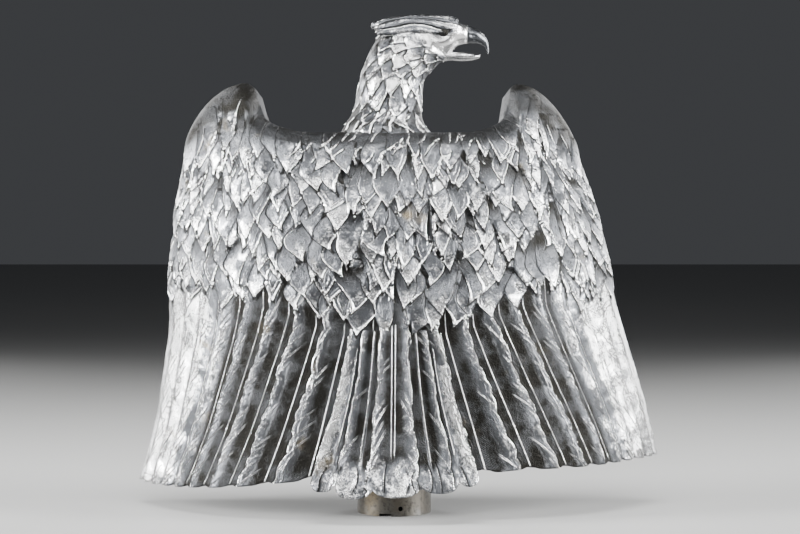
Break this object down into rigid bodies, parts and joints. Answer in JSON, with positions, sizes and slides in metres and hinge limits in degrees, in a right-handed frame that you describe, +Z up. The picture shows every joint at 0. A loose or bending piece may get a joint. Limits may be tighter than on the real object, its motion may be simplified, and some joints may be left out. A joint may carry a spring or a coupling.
{
  "type": "eagle pole finial",
  "caption": "Cast metal eagle with lowered wings and turned head, standing on a short round socket that fits over the end of a pole.",
  "frame": {"origin": "on the axis of the pole socket, in the plane of its open rim, which is the lowest plane of the object", "axes": "+Z up, +X to the side the head looks to, +Y the way the breast faces; the picture looks along +Y at the eagle's back"},
  "size_m": [0.3231, 0.1228, 0.2987],
  "materials": {
    "silvered_casting": "bright silvered cast metal with raised edges worn bright and dark patina in the hollows",
    "socket_metal": "dull, brownish, unpolished sheet tube"
  },
  "bodies": {
    "root": {"eagle": "silvered_casting", "socket": "socket_metal"}
  },
  "joints": []
}
